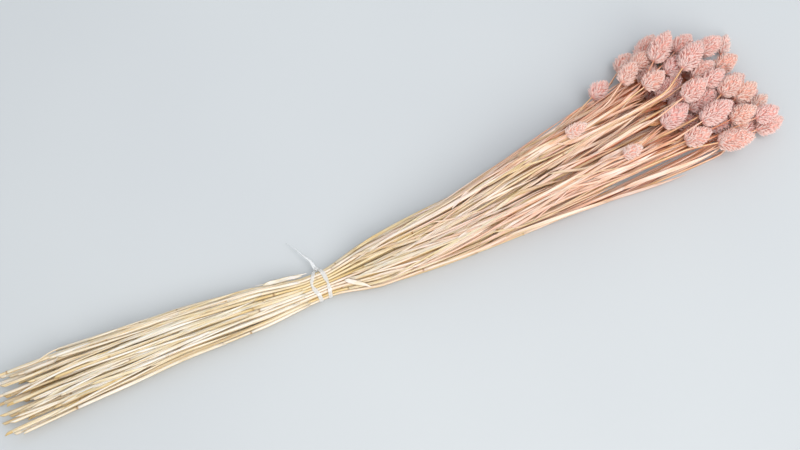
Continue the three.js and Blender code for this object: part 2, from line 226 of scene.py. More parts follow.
# More of them, strewn: the least and the greatest start, the farthest end, drift and number
STREWN = ((22, 235, 300, 13, 84), (-260, -110, -20, 6, 40))
STREWN_LENGTHS = (50, 135)
STREWN_PLACES = (0, 0.35, 0.7, 1)
STREWN_TURN = 0.3  # the place where a drifting one crosses its own course
STREWN_ROLLED = 0.7  # of them, and the others are flat
STREWN_KINDS = (((1.0, 1.5), BLADE_THICK), ((0.6, 1.0), ROLLED_THICK))
STREWN_TWIST = 0.8
STREWN_SEED = 7

# Withered leaves beneath the heads, with painted shade to darken the gaps between them: points along,
# across and up
BENEATH_HEADS = (
    ((318, 26, 12), (337, 34, 10), (352, 41, 9), (366, 46, 8), (380, 52, 7)),
    ((286, 34, 16), (303, 40, 11), (319, 43, 9), (336, 48, 8), (350, 54, 6)),
    ((306, 4, 16), (329, 8, 10), (345, 11, 9), (362, 13, 8), (378, 16, 6)),
    ((350, -20, 7), (371, -22, 5), (384, -20, 5), (397, -17, 4)),
    ((302, 52, 14), (323, 60, 10), (336, 66, 8), (349, 73, 6)),
)
BENEATH_OFF = (-4, 0, 4)  # three leaves fan out along each of those lines
BENEATH_FAN = (0.5, 0.4)
BENEATH_LOOKS = (2.4, BLADE_THICK, 0.3, 0.5, 0.6)  # half width and thickness, twist, tone, painted shade

# How a leaf passes beneath a head
DUCK_REACH = 12  # it begins this far beside the head
DUCK_RISE = 60  # and lies up to this much higher there
DUCK_HEIGHT = 18  # unless it lies this high above the head
DUCK_UNDER = 0.8  # of the head's radius
DUCK_ROUNDS = 5
DUCK_KINK = 0.15
DUCK_LOWEST = 0.5

# The heads: the first of two values is for a full head, the second for a small one
SMALL_HEAD = 20.5  # heads shorter than this are slim and pale
HEAD_GIRTHS = (1.07, 0.8)  # against the CAD's
HEAD_TONES = ((0, 1), (0.8, 1.5))
HEAD_PALENESS = (0, 0.25)
HEAD_FULLNESS = (0.8, 0.65)  # how near the neck it is widest, and how blunt its ends are
CORE_GIRTH = 0.82
CORE_MIDDLE, CORE_HALF = 0.46, 0.45  # as shares of the head's length
# The core is coloured like the scale roots: painted shade inside the head.
CORE_SHADE = 0.3
SCALE_AREA = 2.1  # of a head's surface for each scale, in square millimetres
SCALE_SIZE = (1.5, 0.9, 3.2)  # width, thickness and length of one scale
SCALE_SIDES = 4
SCALE_FULLNESS = (1.15, 0.9)
SCALE_KEEL = 0.4  # how thick its inner side is against its back
SCALE_FEET = (0.92, 0.94)  # the last foot as planned and at the most, in lengths of the head
SCALE_FOOT_STRAY = 0.9
SCALE_FOOT_GIRTH = 0.72
SCALE_REACH = (0.75, 1.2)
SCALE_LEAN = 0.8
SCALE_FLARE = (0.7, 2.6)  # how far a scale's point stands out
SCALE_TURN_STRAY = 0.3
SCALE_SIZES = (0.85, 1.15)
LAST_SCALE = 0.75  # size of the scales at the head's tip
FOOT_SHADE = 0.45  # nothing covers the scales' roots at the neck, so they get little painted root shade and show only their pale upper part
GOLDEN_TURN = math.radians(137.508)

# The film of the tie
FILM_WIDTH = 3.4
FILM_THICK = 0.16  # drawn thicker than real film, which would flicker
FILM_DEPTH = 0.22  # it lies this far inside the outer face of the CAD's strap
FILM_STRIPS = 8
STRAP_STEPS = 96
# Each turn: places across and along the bunch, where it is folded narrow, and its seed
FILM_TURNS = (
    (((-12.4, -3), (-9, -3.3), (-4.6, -4.7), (0.6, -5.9), (4, -4.6), (8.4, -1.7), (14.5, 2)), 0.6, 0),
    (((-12.4, 4.9), (-7.7, 6.3), (-2.2, 7.1), (7.5, 6.6), (12, 5.4), (14.5, 3.6)), -2.2, 20),
)
PINCH_SHARE, PINCH_SPREAD, PINCH_OVER = 0.5, 2.2, 3
FILM_FREE = (1, 5)  # they stray from this far below the table's face, and fully this much higher
FILM_CREASES = (0.3, 0.25)  # how far they stray along the stems and outwards
CREASE_STEPS = (3.1, 0.12, 0.5)  # across the film, and two along it
FILM_LIFT = 0.12
PINCH_LIFT = 0.7
KNOT_SIDE = (8, 6, 1.6)  # the film stands off beside the knot: from where, over what, how far
KNOT_LOOPS = ((0.3, 1.35), (1.5, 1.15), (2.5, 1.25))  # turn and radius
KNOT_SQUASH, KNOT_LIFT, KNOT_SLANT = 0.8, 0.1, 0.3
LOOP_STEPS = 8
LOOP_WIDTHS = (0.9, 0.8)  # half widths
LOOP_TWIST = 2.2
TAIL = (
    (2.6, 13.6, 11), (1.6, 18, 12.4), (0.9, 21.5, 12.9), (-1.6, 26, 12.6), (-3.8, 32, 10.2),
    (-7, 40, 6.8), (-10.5, 46.5, 3.8),
)
TAIL_WIDTHS = (1.7, 0.6)
TAIL_ROLLS = (0.1, 1.1)
RIBBON_STEPS = 6
RIBBON_THICK = 0.13
RIBBON_FOLD = 0.15


def share(n, step):
    """A spread of numbers from 0 to 1 that never repeats."""
    return n * step % 1


def between(low, high, part):
    return low + (high - low) * part


def smooth(part):
    part = min(max(part, 0), 1)
    return part * part * (3 - 2 * part)


def swing(chance, reach):
    return chance.uniform(-reach, reach)


def either_way(chance, sizes):
    """A size from a range, to one side or the other."""
    return chance.uniform(*sizes) * chance.choice((-1, 1))


def eased(values):
    """The same row of numbers with its kinks drawn out. Its ends stay."""
    for _ in range(2):
        values[1:-1] = (values[:-2] + values[1:-1] * 2 + values[2:]) / 4
    return values


def lengths_along(points):
    """How far each point lies along the line through them."""
    return np.concatenate(([0], np.cumsum(np.linalg.norm(np.diff(points, axis=0), axis=1))))


def linear(code):
    """An sRGB hex colour as the linear colour that a shader takes."""
    parts = [int(code[n:n + 2], 16) / 255 for n in (1, 3, 5)]
    return tuple(c / 12.92 if c <= 0.04045 else ((c + 0.055) / 1.055) ** 2.4 for c in parts) + (1,)


# Materials


def add_node(tree, kind, inputs=(), output=0, stops=(), **settings):
    """Adds a node and gives one of its outputs. An input takes a value or another node's output."""
    made = tree.nodes.new("ShaderNode" + kind)
    for name, value in settings.items():
        setattr(made, name, value)
    if stops:
        elements = made.color_ramp.elements
        while len(elements) < len(stops):
            elements.new(0.5)
        for element, (place, colour) in zip(elements, stops):
            element.position = place
            element.color = linear(colour)
    for place, source in dict(inputs).items():
        if isinstance(source, bpy.types.NodeSocket):
            tree.links.new(source, made.inputs[place])
        else:
            made.inputs[place].default_value = source
    return made.outputs[output] if made.outputs else None


def new_material(name):
    """An empty material, and the function that adds its nodes."""
    material = bpy.data.materials.new(name)
    material.use_nodes = True
    material.node_tree.nodes.clear()
    return material, partial(add_node, material.node_tree)


def straw_material(name, ramps, shade_colours, glow):
    """Dry grass straw: waxy and fibrous, pale and golden in streaks that run along the stem."""
    material, node = new_material(name)
    colour_and_shade = node("Attribute", output="Color", attribute_name="colour_and_shade")
    tone, mark, inside = node("SeparateColor", {0: colour_and_shade}).node.outputs
    grain = node("Attribute", output="Vector", attribute_name="grain")
    place = node("TexCoord", output="Object")
    along = node("SeparateXYZ", {0: place}, output="X")
    # Fibres are a quarter of a millimetre wide, drawn twice as coarse so that they show.
    fibres = node("Mapping", {"Vector": grain, "Scale": FIBRES_PER_MM})
    fibre = node("TexNoise", {"Vector": fibres, "Scale": 1.1, "Detail": 4})
    # Patches of weathering are two to four centimetres long.
    patches = node("Mapping", {"Vector": grain, "Scale": PATCHES_PER_MM})
    patch = node("TexNoise", {"Vector": patches, "Scale": 1.0, "Detail": 3})
    level = node("Math", {0: fibre, 1: 0.75, 2: -0.38}, operation="MULTIPLY_ADD")
    level = node("Math", {0: patch, 1: 1.1, 2: level}, operation="MULTIPLY_ADD")
    colour, golden, dyed = (node("ValToRGB", {0: level}, stops=stops) for stops in ramps)
    # The dye has run down the stems from the heads, further on some than on others.
    reach = node("Math", {0: patch, 1: 0.34, 2: along}, operation="MULTIPLY_ADD")
    reach = node("Math", {0: tone, 1: -0.2, 2: reach}, operation="MULTIPLY_ADD")
    dye = node("MapRange", {0: reach, 1: DYE_ALONG[0], 2: DYE_ALONG[1], 3: 0, 4: 0.86},
               interpolation_type="SMOOTHSTEP")
    # Painted shade: deep in the bunch and on each straw's underside, the colour is mixed towards darker,
    # redder colours, plain or dyed.
    shade_colour = node("Mix", {0: dye, 6: linear(shade_colours[0]), 7: linear(shade_colours[1])}, output=2, data_type="RGBA")
    # Mixed in turn: the golden tone, the dye, painted shade, and the dark joints together with the
    # painted shade inside hollow ends.
    for part, over in ((tone, golden), (dye, dyed), (inside, shade_colour), (mark, linear(JOINT_COLOUR))):
        colour = node("Mix", {0: part, 6: colour, 7: over}, output=2, data_type="RGBA")
    shader = node("BsdfPrincipled", {
        "Base Color": colour,
        "Normal": node("Bump", {"Height": fibre, "Strength": 0.4, "Distance": 0.3 * MM}),
        "Roughness": 0.48,
        "IOR": 1.45,
        "Subsurface Weight": glow,
        "Subsurface Radius": (1.0, 0.9, 0.75),
        "Subsurface Scale": 0.6 * MM,
    })
    node("OutputMaterial", {0: shader})
    return material


def scale_material():
    """Dry flower scales: papery and matt, dyed, darker at the root as painted shade where the scales
    cover each other, and paler at the point.
    """
    material, node = new_material("dyed_flower_scales")
    colour_and_shade = node("Attribute", output="Color", attribute_name="colour_and_shade")
    part, tone, head = node("SeparateColor", {0: colour_and_shade}).node.outputs
    place = node("TexCoord", output="Object")
    # Veins run along each scale, about half a millimetre apart.
    veins = node("TexNoise", {"Vector": place, "Scale": 1.3 / MM, "Detail": 3})
    # A scale's colour runs along it: dark at the root, which is painted shade under the scales that
    # cover it, and pale at the point.
    level = node("Math", {0: veins, 1: 0.3, 2: part}, operation="MULTIPLY_ADD")
    level = node("Math", {0: tone, 1: 0.3, 2: level}, operation="MULTIPLY_ADD")
    level = node("Math", {0: level, 1: -0.3}, operation="ADD")
    rose, peach = (node("ValToRGB", {0: level}, stops=stops) for stops in (
        ((0.05, "#ea9f94"), (0.26, "#f5bab1"), (0.52, "#faccc4"), (0.9, "#fedcd6")),
        ((0.05, "#e9a28c"), (0.26, "#f5bda9"), (0.52, "#fbcfbf"), (0.9, "#fee0d4")),
    ))
    shader = node("BsdfPrincipled", {
        "Base Color": node("Mix", {0: head, 6: rose, 7: peach}, output=2, data_type="RGBA"),
        "Normal": node("Bump", {"Height": veins, "Strength": 0.4, "Distance": 0.4 * MM}),
        "Roughness": 0.8,
        "Specular IOR Level": 0.12,
        "Subsurface Weight": 0.3,
        "Subsurface Radius": (1.0, 0.8, 0.75),
        "Subsurface Scale": 0.8 * MM,
    })
    node("OutputMaterial", {0: shader})
    return material


def film_material():
    """Clear polythene film: milky where it is stretched and creased, with sharp glints."""
    material, node = new_material("clear_polythene_film")
    place = node("TexCoord", output="Object")
    # Creases from pulling the film tight are about two millimetres apart.
    creases = node("TexNoise", {"Vector": place, "Scale": 0.48 / MM, "Detail": 3})
    shader = node("BsdfPrincipled", {
        "Base Color": node("ValToRGB", {0: creases}, stops=((0.3, "#eef0f0"), (0.7, "#ffffff"))),
        "Normal": node("Bump", {"Height": creases, "Strength": 0.6, "Distance": 0.6 * MM}),
        "Roughness": 0.15,
        "Specular IOR Level": 1.0,
        "Coat Weight": 1.0,
        "Coat Roughness": 0.08,
        "Alpha": 0.45,
    })
    node("OutputMaterial", {0: shader})
    return material


def table_material():
    """A pale laminate table top: smooth, cool white, with a very faint mottle."""
    material, node = new_material("pale_laminate")
    # The mottle is a few tens of centimetres wide.
    mottle = node("TexNoise", {"Vector": node("TexCoord", output="Object"), "Scale": 2.5, "Detail": 2})
    colour = node("ValToRGB", {0: mottle}, stops=((0.3, "#c3c7ca"), (0.7, "#c8ccce")))
    shader = node("BsdfPrincipled", {"Base Color": colour, "Roughness": 0.6})
    node("OutputMaterial", {0: shader})
    return material


# Each has a pale, a golden and a dyed ramp, and its darker colours of painted shade, plain and dyed.
STRAW = straw_material(
    "dry_straw",
    (
        ((0.2, "#d3b884"), (0.4, "#e6d5b4"), (0.58, "#efe3cf"), (0.85, "#f6efe5")),
        ((0.2, "#b9965b"), (0.4, "#dabd83"), (0.58, "#e7d09f"), (0.85, "#f0e1c2")),
        ((0.2, "#d67a50"), (0.4, "#f0ac85"), (0.58, "#fac8a9"), (0.85, "#fee2ce")),
    ), ("#cba767", "#c2491e"), 0.3)
SHEATH = straw_material(
    "papery_leaf_sheath",
    (
        ((0.2, "#d8c398"), (0.4, "#eae0cb"), (0.58, "#f2ebe0"), (0.85, "#f8f3ee")),
        ((0.2, "#c4a268"), (0.4, "#e1c998"), (0.58, "#ebdab6"), (0.85, "#f3e8d1")),
        ((0.2, "#de8860"), (0.4, "#f5ba99"), (0.58, "#fcd4bd"), (0.85, "#ffeadc")),
    ), ("#cba767", "#c0471d"), 0.4)
SCALES = scale_material()
FILM = film_material()


# Meshes


def as_mesh(name, bm):
    mesh = bpy.data.meshes.new(name)
    bm.to_mesh(mesh)
    bm.free()
    return mesh


def new_object(name, data):
    made = bpy.data.objects.new(name, data)
    bpy.context.scene.collection.objects.link(made)
    return made


def piece(name, bm, material):
    """Makes the finished mesh an object at the origin."""
    bmesh.ops.scale(bm, vec=(MM, MM, MM), verts=bm.verts)
    mesh = as_mesh(name, bm)
    mesh.polygons.foreach_set("use_smooth", [True] * len(mesh.polygons))
    mesh.materials.append(material)
    return new_object(name, mesh)


def press_flat(bm):
    """Flattens what would sink into the table."""
    for vert in bm.verts:
        vert.co.z = max(vert.co.z, TABLE_GAP)


def new_bmesh():
    """An empty bmesh with the layers that the materials read: colour, with its tone, marks and painted
    shade, and grain.
    """
    bm = bmesh.new()
    bm.verts.layers.float_color.new("colour_and_shade")
    bm.verts.layers.float_vector.new("grain")
    return bm


def add_to(target, bm):
    """Adds a finished mesh to a larger one."""
    mesh = as_mesh("part", bm)
    target.from_mesh(mesh)
    bpy.data.meshes.remove(mesh)


# One ring of a tube: its middle and its way, half its width and height, and its looks
Ring = namedtuple("Ring", "at way wide high along roll fold slant mark", defaults=(0, 0, 0, 0))


def tube(target, rings, sides, tone, inside=0.0, seed=0):
    """A closed tube through the rings: a straw, a sheath or a thin leaf."""
    bm = new_bmesh()
    colour_and_shade = bm.verts.layers.float_color["colour_and_shade"]
    grain = bm.verts.layers.float_vector["grain"]
    count = len(rings) - 1
    bmesh.ops.create_grid(bm, x_segments=sides, y_segments=count, size=1)
    for vert in bm.verts:
        turn = math.pi * (vert.co.x + 1)
        here = rings[round((vert.co.y + 1) / 2 * count)]
        left = UPWARD.cross(here.way).normalized()
        over = here.way.cross(left)
        side = left * math.cos(here.roll) + over * math.sin(here.roll)
        rise = over * math.cos(here.roll) - left * math.sin(here.roll)
        wide = here.wide * math.cos(turn)
        high = here.high * math.sin(turn)
        vert.co = (here.at + side * wide + rise * (high + here.fold * abs(wide))
                   + here.way * here.slant * wide)
        # Painted shade: the sides and underside of each straw are mixed towards the darker colours, and
        # the top stays pale.
        crease = CREASE_SHADE * (1 - max(math.sin(turn), 0)) ** 2
        vert[colour_and_shade] = (tone, here.mark, min(inside + crease, 1), 1)
        vert[grain] = Vector((wide, high, here.along)) + Vector(GRAIN_APART) * seed
    bmesh.ops.remove_doubles(bm, verts=bm.verts, dist=MERGE)
    bmesh.ops.holes_fill(bm, edges=bm.edges, sides=0)
    bmesh.ops.recalc_face_normals(bm, faces=bm.faces)
    add_to(target, bm)


# The stems' courses, read from the frame


def head_ends(name):
    """The neck and the tip of a head, from its solid, and its greatest radius."""
    verts = np.array([v.co[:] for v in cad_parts[name].data.vertices]) / MM
    centre = verts.mean(axis=0)
    _, axes = np.linalg.eigh(np.cov((verts - centre).T))
    axis = axes[:, -1]
    if axis @ centre < 0:
        axis = -axis
    depth = (verts - centre) @ axis
    neck = verts[depth < depth.min() + NECK_SLICE].mean(axis=0)
    tip = verts[depth.argmax()]
    way = (tip - neck) / np.linalg.norm(tip - neck)
    off = verts - neck
    reach = np.linalg.norm(off - np.outer(off @ way, way), axis=1).max()
    return Vector(neck), Vector(tip), float(reach)


def row_at(table, along):
    """The row of a table that belongs to a place along the bunch."""
    for low, high in zip(table, table[1:]):
        if abs(along) <= abs(high[0]):
            part = (along - low[0]) / (high[0] - low[0])
            return [between(a, b, part) for a, b in zip(low, high)]
    return table[-1]


def left_point(slot, along):
    """Where a stem passes a place left of the tie."""
    _, drift, wider, higher = row_at(LEFT_FAN, along)
    height = LOWEST_ROW + (slot.z - LOWEST_ROW) * higher
    return Vector((along, drift + slot.y * wider, height))


def bow(slot, along):
    """How far a stem bows there from the straight way to its head."""
    _, drift, wider, higher = row_at(RIGHT_BOW, along)
    return Vector((0, drift + slot.y * wider, (slot.z - LOWEST_ROW) * higher))


def cut_end(row, slot, number):
    """Where the stem's cut end lies, by the same rule as the CAD."""
    def stray(step):
        return (share(number, step) - 0.5) * CUT_STRAY

    at = left_point(slot, between(*CUT_ALONG, share(number * CUT_STEP + row, EVEN_STEP)))
    at.y += stray(STRAY_STEPS[0])
    at.z = max(at.z + stray(STRAY_STEPS[1]), CUT_RADIUS)
    return at


def rounded(points, level):
    """A soft curve through the points. It runs straight along the bunch at the level ones."""
    ways = [(after - before).normalized() for before, after in zip(points, points[1:])]
    middles = [ways[0]] + [(a + b).normalized() for a, b in zip(ways, ways[1:])] + [ways[-1]]
    for n in level:
        middles[n] = Vector((1, 0, 0))
    line = []
    for n, (start, end) in enumerate(zip(points, points[1:])):
        stretch = (end - start).length
        steps = max(2, round(stretch / STEP))
        first = start + middles[n] * stretch * BEND_HANDLE
        second = end - middles[n + 1] * stretch * BEND_HANDLE
        for k in range(steps):
            t = k / steps
            line.append(
                start * (1 - t) ** 3 + first * 3 * t * (1 - t) ** 2
                + second * 3 * t * t * (1 - t) + end * t ** 3
            )
    return line + [points[-1]]


class Stem:
    """One stem with its head: its slot in the tie, its route, its joints and its colours."""

    def __init__(self, name):
        self.name = name
        _, row, place = name.split("_")
        self.row, self.place = int(row) - 1, int(place) - 1
        self.number = sum(ROWS[:self.row]) + self.place
        self.neck, self.tip, self.radius = head_ends(name)
        self.way = (self.tip - self.neck).normalized()
        self.random = random.Random(STEM_SEED + self.number)
        self.tone = smooth((self.random.random() - PALE_SHARE) / GOLDEN_SPAN)
        self.from_edge = min(self.place, ROWS[self.row] - 1 - self.place)
        # Stems deeper in the bunch, where shade falls, get more painted shade.
        depth = min(len(ROWS) - 1 - self.row, self.from_edge, DEEP_STEMS)
        self.inside = depth / DEEP_STEMS * DEEP_SHADE
        self.find_route()
        self.grow_joints()

    def find_route(self):
        """The middle line, from the cut end through the tie into the head."""
        across = (self.place - (ROWS[self.row] - 1) / 2) * PITCH
        slot = Vector((HOLD, across, LOWEST_ROW + self.row * ROW_RISE))
        bend = self.neck - self.way * NECK_BEND
        end = bend - bow(slot, bend.x)
        points = [cut_end(self.row, slot, self.number + 1)]
        points += [left_point(slot, along) for along in (*LEFT_RINGS, -HOLD)] + [slot]
        level = (len(points) - 2, len(points) - 1)
        for along in RIGHT_RINGS:
            if along <= bend.x - RING_ROOM:
                points.append(slot.lerp(end, (along - HOLD) / (bend.x - HOLD)) + bow(slot, along))
        points += [bend, self.neck, self.neck + self.way * HEAD_ENTRY]
        line = rounded(points, level)
        for point in line:
            # Dry stems are never quite straight, except where the tie and the head hold them.
            freed = smooth((abs(point.x) - TIE_CALM[0]) / TIE_CALM[1])
            freed *= smooth((self.neck.x - point.x) / HEAD_CALM)
            seed = Vector((point.x / WAVE_LENGTH, self.number * WAVE_APART[0], 0))
            upward = noise.noise(seed + UPWARD * WAVE_APART[1])
            point.y += noise.noise(seed) * WAVE * freed
            point.z += max(upward, -WAVE_SAG) * WAVE * freed
        self.route = np.array([point[:] for point in line])
        self.lengths = lengths_along(self.route)
        self.length = float(self.lengths[-1])

    def grow_joints(self):
        """The dark joints from the cut end up, and the start of the bare stretch below the head."""
        self.bare = self.length - HEAD_ENTRY - self.random.uniform(*BARE_LENGTHS)
        self.joints = []
        self.darkness = self.random.uniform(*JOINT_SHADES)
        s = self.random.uniform(*FIRST_JOINTS)
        while s < self.bare - LAST_JOINT:
            self.joints.append(s)
            s += self.random.uniform(*JOINT_GAPS)

    def at(self, s):
        """The point of the middle line at a length from the cut end. It goes on past its end."""
        beyond = self.way * max(s - self.length, 0)
        return Vector([float(np.interp(s, self.lengths, self.route[:, n])) for n in range(3)]) + beyond

    def way_at(self, s):
        """The way of the stem there, over a few millimetres."""
        return (self.at(s + 3) - self.at(max(s - 3, 0))).normalized()

    def where(self, along):
        """The length from the cut end at which the stem passes a place along the bunch."""
        return float(np.interp(along, self.route[:, 0], self.lengths))

    def radius_at(self, s):
        """The radius of the bare stem: thin below the head, and thinner at the neck."""
        radius = float(np.interp(self.at(s).x, *zip(*CULM_RADII)))
        thin = smooth((s - self.bare) / PEDUNCLE_TAPER)
        neck = smooth((s - self.length + HEAD_ENTRY + NECK_TAPER) / NECK_TAPER)
        return between(between(radius, PEDUNCLE, thin), NECK_RADIUS, neck)

    def ring(self, s, wide, high=None, **looks):
        """A ring round the stem at a length from its cut end."""
        return Ring(self.at(s), self.way_at(s), wide, wide if high is None else high, s, **looks)


STEMS = [Stem(name) for name in sorted(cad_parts) if name.startswith("head_")]
HEAD_NECKS = np.array([stem.neck[:] for stem in STEMS])
HEAD_TIPS = np.array([stem.tip[:] for stem in STEMS])
HEAD_RADII = np.array([stem.radius for stem in STEMS])


# The stems, their sheaths and the leaves between them


def build_culm(bm, stem):
    """The bare stem: a hollow slanted cut end with painted shade inside, dark joints and a thin neck."""
    chance = stem.random
    marks = {s: 0.0 for s in np.arange(STEP, stem.length - 2, STEP)}
    for joint in stem.joints:
        for s in [s for s in marks if abs(s - joint) < JOINT_HALF * 2]:
            del marks[s]
        for off in JOINT_RINGS:
            marks[joint + off * JOINT_HALF] = (1 - abs(off)) * stem.darkness
    marks[stem.length] = 0.0
    size = chance.uniform(*CULM_STRAY)
    slant = either_way(chance, CUT_SLANTS)
    rim = stem.radius_at(0) * size
    rings = []
    for depth, part, mark in CUT_RINGS:
        cut = stem.ring(depth, rim * part, slant=slant / part * 0.9, mark=mark)
        rings.append(cut._replace(way=stem.way_at(STEP)))
    rings.append(stem.ring(NEXT_RINGS[0], rim))
    for s in sorted(marks):
        if s < NEXT_RINGS[1]:
            continue
        from_tie = abs(stem.at(s).x)
        radius = stem.radius_at(s) * between(size, 1, smooth(1 - (from_tie - TIE_EVEN[0]) / TIE_EVEN[1]))
        if from_tie >= JOINT_HELD:
            near = min((abs(s - joint) for joint in stem.joints), default=FAR)
            radius *= between(JOINT_SWELL, 1, smooth(near / JOINT_HALF))
        rings.append(stem.ring(s, radius, mark=marks[s]))
    tube(bm, rings, STEM_SIDES, stem.tone, stem.inside, stem.number)


def room(stem, s):
    """How wide a sheath may be: the stems lie close together near the tie."""
    along = stem.at(s).x
    tied, left, free = SHEATH_ROOMS
    if along < 0:
        return left * PITCH * row_at(LEFT_FAN, min(along, -HOLD))[2]
    return between(tied * PITCH, free, smooth((along - SHEATH_FREE[0]) / SHEATH_FREE[1]))


def build_sheath(bm, stem, start, length):
    """A leaf sheath: a flattened sleeve from a joint up to its slanted mouth, with painted shade inside
    the mouth.
    """
    chance = stem.random
    wide = chance.uniform(*SHEATH_WIDTHS)
    roll = swing(chance, SHEATH_ROLL)
    slant = either_way(chance, MOUTH_SLANTS)
    tone = min(max(stem.tone * 0.8 + chance.uniform(*SHEATH_TONES), 0), 1)
    steps = max(4, round(length / STEP))
    rings = []
    for n in range(steps + 1):
        part = n / steps
        s = start + part * length
        # It clasps the stem at the joint, and grows wide and flat from there.
        bare = stem.radius_at(s)
        full = max(min(wide, room(stem, s)), bare * 1.06)
        full *= 1 + SHEATH_WAVE[0] * noise.noise(Vector((s / SHEATH_WAVE[1], stem.number * 5.1, 4)))
        half = between(bare * 1.12, full, smooth(part / 0.2))
        high = max(half * between(*SHEATH_FLATNESS, smooth(part / 0.3)), bare * 1.04)
        rings.append(stem.ring(s, half, high, roll=roll, slant=slant * smooth((part - 0.9) / 0.1)))
    last = rings[-1]
    for depth, size, mark in MOUTH_RINGS:
        rings.append(last._replace(
            at=last.at - last.way * depth, wide=last.wide * size, high=last.high * size,
            slant=slant / size, mark=mark))
    # The sheath gets a little less painted shade than its stem.
    tube(bm, rings, SHEATH_SIDES, tone, stem.inside * 0.6, stem.number + 0.37 * len(rings))


def beneath_heads(line):
    """Lowers a leaf's line where it would lie over a head."""
    spots = np.array([at[:] for at in line])[:, None]
    way = HEAD_TIPS - HEAD_NECKS
    part = ((spots - HEAD_NECKS)[..., :2] * way[:, :2]).sum(axis=2) / (way[:, :2] ** 2).sum(axis=1)
    nearest = HEAD_NECKS + np.clip(part, 0, 1)[..., None] * way
    gap = np.linalg.norm((spots - nearest)[..., :2], axis=2)
    free = np.clip((gap - HEAD_RADII) / DUCK_REACH, 0, 1)
    lowest = nearest[..., 2] - HEAD_RADII * DUCK_UNDER + DUCK_RISE * free * free
    lowest[spots[..., 2] - nearest[..., 2] > DUCK_HEIGHT] = FAR
    tops = np.minimum(spots[..., 2], lowest).min(axis=1)
    for _ in range(DUCK_ROUNDS):
        drawn_out = (tops[:-2] + tops[1:-1] * 2 + tops[2:]) / 4
        tops[1:-1] = np.minimum(tops[1:-1], drawn_out + DUCK_KINK)
    return [Vector((at.x, at.y, max(float(top), DUCK_LOWEST))) for at, top in zip(line, tops)]


def build_leaf(bm, line, wide, thick, twist, tone, inside=0.0, seed=0.0):
    """A dry leaf along a line: folded at its foot and drawn out to a point."""
    line = beneath_heads(line)
    rings = []
    for n, at in enumerate(line):
        part = n / (len(line) - 1)
        before, after = line[max(n - 1, 0)], line[min(n + 1, len(line) - 1)]
        foot = smooth(part / LEAF_FOOT[0] + LEAF_FOOT[1])
        point = (1 - smooth((part - LEAF_POINT[0]) / LEAF_POINT[1])) ** LEAF_POINT[2]
        width = wide * foot * point + LEAF_TIP
        rings.append(Ring(
            at, (after - before).normalized(), width, min(thick, width), part * LEAF_GRAIN,
            roll=twist * smooth(part), fold=between(*LEAF_FOLDS, smooth(part * 2))))
    tube(bm, rings, LEAF_SIDES, tone, inside, seed)


def build_blade(bm, stem, start, length, wide, thick, drift, lift, tone, inside=0.0):
    """A leaf that leaves the stem and lies along the bunch."""
    chance = stem.random
    seed = chance.uniform(*LEAF_SEEDS)
    steps = max(8, round(length / STEP))
    line = []
    for n in range(steps + 1):
        part = n / steps
        s = start + part * length
        way = stem.way_at(s)
        left = UPWARD.cross(way).normalized()
        across = noise.noise(Vector((part * 2, seed, 0)))
        upward = abs(noise.noise(Vector((part * 2.5, seed, 7))))
        away = drift * part ** 1.2 + BLADE_WAVE * across * part
        rise = lift * smooth(part / 0.3) + BLADE_WAVE * upward * part
        at = stem.at(s) + left * away + way.cross(left) * rise
        at.z = max(at.z, wide * 0.6 + 0.3)
        line.append(at)
    build_leaf(bm, line, wide, thick, chance.uniform(-1, 1), tone, inside, seed)


def build_lining(bm, stem):
    """Withered leaves between the stems, flat and rolled ones."""
    chance = stem.random
    inward = -1 if stem.at(stem.bare).y > MIDDLE_ACROSS else 1
    outward_left = 1 if stem.place * 2 > ROWS[stem.row] else -1
    edge = stem.from_edge < 2
    for number, start in enumerate(LINING_STARTS):
        s = stem.where(start + swing(chance, LINING_STRAY))
        length = min(chance.uniform(*LINING_LENGTHS), stem.length - s - chance.uniform(0, LINING_END))
        drift = swing(chance, LINING_DRIFT)
        if edge:
            drift = inward * abs(drift)
        if length < SHORTEST:
            continue
        widths, thick, lifts, shade_amounts = LINING_KINDS[number % 2]
        # Each kind also sets how much painted shade the leaf gets, to darken the gaps between the stems.
        build_blade(bm, stem, s, length, chance.uniform(*widths), thick, drift,
                    chance.uniform(*lifts), chance.random(), chance.uniform(*shade_amounts))
    for start in LEFT_LINING:
        s = stem.where(start + swing(chance, LINING_STRAY))
        length = min(chance.uniform(*LEFT_LENGTHS), stem.where(LEFT_END) - s)
        drift = swing(chance, LEFT_DRIFT)
        if edge:
            drift = -outward_left * chance.uniform(*LEFT_EDGE_DRIFTS)
        # The leaves on the left get at most half the painted shade.
        build_blade(bm, stem, max(s, LEFT_FOOT), length, chance.uniform(*LEFT_WIDTHS), BLADE_THICK,
                    drift, chance.uniform(-2, 0), chance.random(), chance.uniform(0, 0.5))


# The loose leaves


def spread_at(along):
    """The stems' places across the bunch at one place along it, and their heights."""
    there = [stem.route for stem in STEMS if stem.route[0, 0] - 3 < along < stem.neck.x - 4]
    return [np.array([np.interp(along, route[:, 0], route[:, n]) for route in there]) for n in (1, 2)]


def laid(points):
    """A line through points along and across the bunch, laid on top of the stems."""
    ends = np.array(points, dtype=float)
    lengths = lengths_along(ends)
    places = np.linspace(0, lengths[-1], LEAF_POINTS)
    along = np.interp(places, lengths, ends[:, 0])
    across = eased(np.interp(places, lengths, ends[:, 1]))
    tops = []
    for x, y in zip(along, across):
        stems, heights = spread_at(x)
        gap = np.abs(stems - y)
        borne = heights + LAID_HEIGHT - LAID_SLOPE * gap
        tops.append(max(np.where(gap < LAID_REACH, borne, LAID_LOWEST)))
    return [Vector(place) for place in zip(along, across, eased(np.array(tops)))]


def strewn_course(start, end, across, drift):
    """A loose leaf's course: it keeps to one share of the bunch's width, and drifts."""
    points = []
    for part in STREWN_PLACES:
        x = between(start, end, part)
        stems, _ = spread_at(x)
        y = between(stems.min(), stems.max(), across) + drift * (part - STREWN_TURN)
        points.append((x, min(max(y, stems.min() + 1), stems.max() - 1)))
    return points


